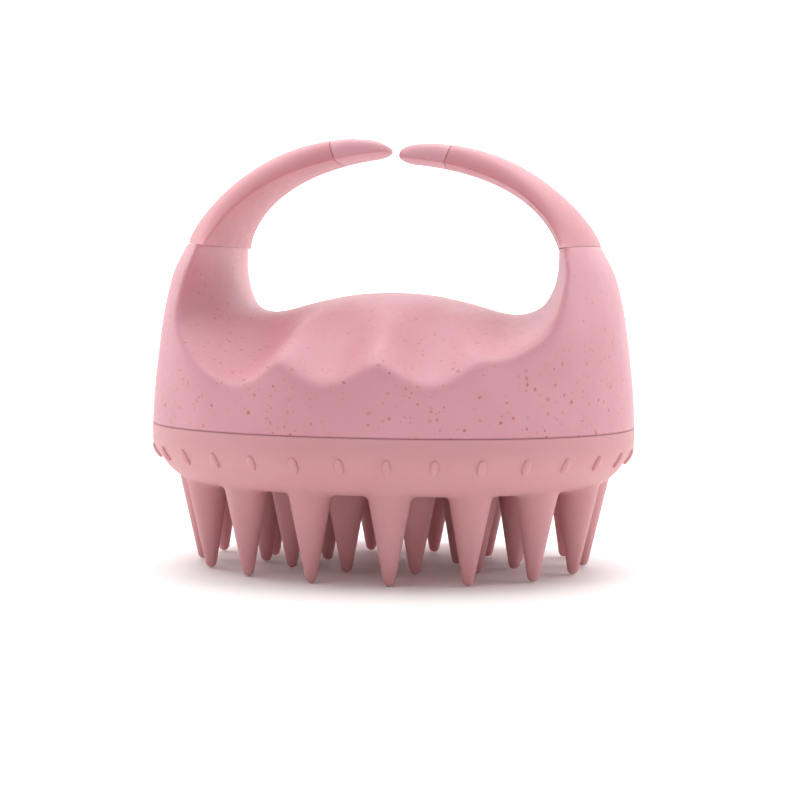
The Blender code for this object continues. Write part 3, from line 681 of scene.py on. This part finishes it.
class Maker:
    """A node tree with short ways to add and join its nodes."""

    def __init__(self, name):
        self.material = bpy.data.materials.new(name)
        self.material.use_nodes = True
        self.tree = self.material.node_tree
        self.shader = self.tree.nodes["Principled BSDF"]
        self.place = self.add("ShaderNodeTexCoord").outputs["Object"]

    def add(self, kind, **values):
        node = self.tree.nodes.new(kind)
        for name, value in values.items():
            setattr(node, name, value)
        return node

    def join(self, source, target):
        self.tree.links.new(source, target)

    def noise(self, scale, detail=2.0):
        node = self.add("ShaderNodeTexNoise")
        node.inputs["Scale"].default_value = scale
        node.inputs["Detail"].default_value = detail
        self.join(self.place, node.inputs["Vector"])
        return node.outputs["Fac"]

    def span(self, value, low, high, to_low=0.0, to_high=1.0):
        """The value's smooth change from one limit to the other, put between two new limits."""
        node = self.add("ShaderNodeMapRange")
        node.interpolation_type = "SMOOTHSTEP"
        for name, number in (("From Min", low), ("From Max", high), ("To Min", to_low), ("To Max", to_high)):
            node.inputs[name].default_value = number
        self.join(value, node.inputs["Value"])
        return node.outputs["Result"]

    def mix(self, share, first, second):
        node = self.add("ShaderNodeMix", data_type="RGBA")
        self.put(share, node.inputs["Factor"])
        self.put(first, node.inputs[6])
        self.put(second, node.inputs[7])
        return node.outputs[2]

    def math(self, operation, first, second):
        node = self.add("ShaderNodeMath", operation=operation)
        self.put(first, node.inputs[0])
        self.put(second, node.inputs[1])
        return node.outputs[0]

    def put(self, value, socket):
        """Sets a socket to a plain value, or joins another node's output to it."""
        if isinstance(value, (int, float, tuple)):
            socket.default_value = value
        else:
            self.join(value, socket)

    def flecks(self, pitch, radius, chance):
        """A mask of small irregular flecks, one at most in each cell of about this pitch."""
        bend = self.add("ShaderNodeTexNoise")
        bend.inputs["Scale"].default_value = 1.6 / pitch
        self.join(self.place, bend.inputs["Vector"])
        pull = self.add("ShaderNodeVectorMath", operation="MULTIPLY_ADD")
        self.join(bend.outputs["Color"], pull.inputs[0])
        pull.inputs[1].default_value = (0.5 * pitch,) * 3
        self.join(self.place, pull.inputs[2])
        cells = self.add("ShaderNodeTexVoronoi")
        cells.inputs["Scale"].default_value = 1 / pitch
        self.join(pull.outputs[0], cells.inputs["Vector"])
        parts = self.add("ShaderNodeSeparateColor")
        self.join(cells.outputs["Color"], parts.inputs[0])
        size = self.math("MULTIPLY", parts.outputs[1], radius / pitch)
        near = self.math("LESS_THAN", cells.outputs["Distance"], size)
        chosen = self.math("LESS_THAN", parts.outputs[0], chance)
        return self.math("MULTIPLY", near, chosen), parts.outputs[2]

    def paint_seam_shade(self, colour):
        """Paints shade into the colour where the surface turns into the seam between the shell and the pad: a
        darker pink line that stands in for the shadow in the gap.
        """
        parts = self.add("ShaderNodeSeparateXYZ")
        self.join(self.place, parts.inputs[0])
        away = self.math("ABSOLUTE", self.math("SUBTRACT", parts.outputs[2], SEAM_Z), 0.0)
        return self.mix(self.span(away, *PAINTED_SEAM_SHADE_SPAN, 0.42, 0.0), colour, PAINTED_SEAM_SHADE)

    def bump(self, height, strength, distance):
        node = self.add("ShaderNodeBump")
        node.inputs["Strength"].default_value = strength
        node.inputs["Distance"].default_value = distance
        self.join(height, node.inputs["Height"])
        self.join(node.outputs[0], self.shader.inputs["Normal"])

    def finish(self, colour, roughness, ior=1.46, specular=0.5):
        self.put(colour, self.shader.inputs["Base Color"])
        self.put(roughness, self.shader.inputs["Roughness"])
        self.shader.inputs["IOR"].default_value = ior
        self.shader.inputs["Specular IOR Level"].default_value = specular
        return self.material


def straw_plastic():
    """Pink plastic filled with fine straw: brown and grey flecks, and a faint mottling."""
    make = Maker("pink_straw_plastic")
    mottle = make.noise(60.0, 3.0)
    colour = make.mix(make.span(mottle, 0.3, 0.7), *STRAW_TONES)
    height = make.add("ShaderNodeSeparateXYZ")
    make.join(make.place, height.inputs[0])
    near_rim = make.span(height.outputs[2], *FLECK_FADE_SPAN, 1.0, 0.45)
    for pitch, radius, chance, shade in FLECKS:
        mask, strength = make.flecks(pitch, radius, chance)
        strong = make.math("MULTIPLY", near_rim, make.span(strength, 0.0, 1.0, 0.3, 0.85))
        colour = make.mix(make.math("MULTIPLY", mask, strong), colour, shade)
    # Painted shade: a darker line along the seam between the shell and the pad.
    colour = make.paint_seam_shade(colour)
    fine = make.noise(900.0, 2.0)
    make.bump(fine, 0.10, FINE_BUMP)
    return make.finish(colour, make.span(fine, 0.3, 0.7, 0.42, 0.52))


def silicone(name, tones, roughness):
    """Smooth satin silicone, slightly uneven in tone."""
    make = Maker(name)
    cloud = make.noise(45.0, 2.0)
    # Painted shade: a darker line along the seam between the shell and the pad.
    colour = make.paint_seam_shade(make.mix(make.span(cloud, 0.3, 0.7), *tones))
    fine = make.noise(700.0, 2.0)
    make.bump(fine, 0.06, FINE_BUMP)
    made = make.finish(colour, make.span(fine, 0.3, 0.7, roughness - 0.05, roughness + 0.05), 1.41, 0.4)
    make.shader.inputs["Subsurface Weight"].default_value = 0.3
    make.shader.inputs["Subsurface Radius"].default_value = SUBSURFACE_RADIUS
    make.shader.inputs["Subsurface Scale"].default_value = SUBSURFACE_DEPTH
    return made


def plain_core():
    """Plain pink moulding of the inner pieces."""
    make = Maker("pink_core_plastic")
    colour = make.mix(make.span(make.noise(80.0, 3.0), 0.3, 0.7), *CORE_TONES)
    fine = make.noise(1100.0, 2.0)
    make.bump(fine, 0.12, FINE_BUMP)
    return make.finish(colour, make.span(fine, 0.3, 0.7, 0.5, 0.6))


def plated_steel():
    """Bright zinc plating of the screws."""
    make = Maker("plated_steel")
    make.shader.inputs["Metallic"].default_value = 1.0
    colour = make.mix(make.span(make.noise(400.0, 4.0), 0.35, 0.65), *STEEL_TONES)
    return make.finish(colour, make.span(make.noise(900.0, 3.0), 0.3, 0.7, 0.24, 0.38))


def studio_white():
    make = Maker("studio_white")
    paper = make.mix(make.span(make.noise(6.0), 0.3, 0.7), *PAPER_TONES)
    return make.finish(paper, 0.7, 1.4, 0.2)


def studio_glow():
    make = Maker("studio_glow")
    glow = make.mix(make.span(make.noise(3.0), 0.3, 0.7), *GLOW_TONES)
    make.put(glow, make.shader.inputs["Emission Color"])
    make.shader.inputs["Emission Strength"].default_value = WALL_GLOW
    return make.finish(glow, 0.8, 1.4, 0.1)


def wear(obj, material):
    obj.data.materials.clear()
    obj.data.materials.append(material)


# Stage

def add_sheet(name, edges, material):
    """One flat sheet as wide as the stage, between two edges at these (y, z)."""
    bm = bmesh.new()
    for side, edge in ((-1, 0), (1, 0), (1, 1), (-1, 1)):
        bm.verts.new((side * STAGE_HALF, *edges[edge]))
    bm.faces.new(bm.verts)
    sheet = new_object(name, bm)
    wear(sheet, material)
    return sheet


def make_stage():
    """A white floor and, behind it, a glowing white wall."""
    floor = add_sheet("studio_floor", ((STAGE_FRONT, 0.0), (STAGE_BACK, 0.0)), studio_white())
    wall = add_sheet("studio_wall", ((STAGE_BACK, 0.0), (STAGE_BACK, WALL_HEIGHT)), studio_glow())


def add_light(name, place, target, size, power):
    lamp = bpy.data.lights.new(name, "AREA")
    lamp.shape = "RECTANGLE"
    lamp.size, lamp.size_y = size
    lamp.energy = power
    obj = bpy.data.objects.new(name, lamp)
    bpy.context.scene.collection.objects.link(obj)
    obj.location = place
    obj.rotation_euler = (Vector(target) - Vector(place)).to_track_quat("-Z", "Y").to_euler()


def make_lights():
    """Soft light from above, both sides and the white surroundings, with little from the front."""
    world = bpy.data.worlds.new("studio")
    world.use_nodes = True
    background = world.node_tree.nodes["Background"]
    background.inputs["Color"].default_value = (1.0, 1.0, 1.0, 1.0)
    background.inputs["Strength"].default_value = WORLD_GLOW
    bpy.context.scene.world = world
    bpy.context.scene.view_settings.view_transform = "Standard"
    for light in LIGHTS:
        add_light(*light)


def make_camera():
    data = bpy.data.cameras.new("camera")
    data.sensor_width = 36.0
    data.lens = CAMERA_LENS
    data.clip_start = 0.01
    camera = bpy.data.objects.new("camera", data)
    bpy.context.scene.collection.objects.link(camera)
    across = CAMERA_DISTANCE * math.sin(CAMERA_AZIMUTH)
    back = CAMERA_DISTANCE * math.cos(CAMERA_AZIMUTH)
    place = Matrix.Translation((across, -back, CAMERA_HEIGHT))
    heading = Matrix.Rotation(CAMERA_AZIMUTH - CAMERA_TURN, 4, "Z")
    tilt = Matrix.Rotation(math.pi / 2 - CAMERA_PITCH, 4, "X")
    camera.matrix_world = place @ heading @ tilt @ Matrix.Rotation(CAMERA_ROLL, 4, "Z")
    bpy.context.scene.camera = camera


# Assembly

straw = straw_plastic()
pad_silicone = silicone("pad_silicone", PAD_TONES, 0.52)
sleeve_silicone = silicone("sleeve_silicone", SLEEVE_TONES, 0.46)
core = plain_core()
steel = plated_steel()

for name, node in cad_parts.items():
    if "screw" in name:
        wear(node, steel)
    elif "core" in name or name == "backing_plate":
        wear(node, core)

shell = make_shell()
wear(shell, straw)
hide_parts("body_shell")
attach(shell, "body")

pad = make_pad()
wear(pad, pad_silicone)
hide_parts("bristle_pad")
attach(pad, "body")

for label, arm in ARMS.items():
    body = f"{label}_arm"
    sleeve = make_sleeve(label, arm)
    wear(sleeve, sleeve_silicone)
    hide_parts(f"{label}_grip_sleeve")
    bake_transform(sleeve)
    tip = make_tip(label, arm)
    wear(tip, straw)
    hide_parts(f"{label}_tip")
    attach(tip, body)

make_stage()
make_lights()
make_camera()
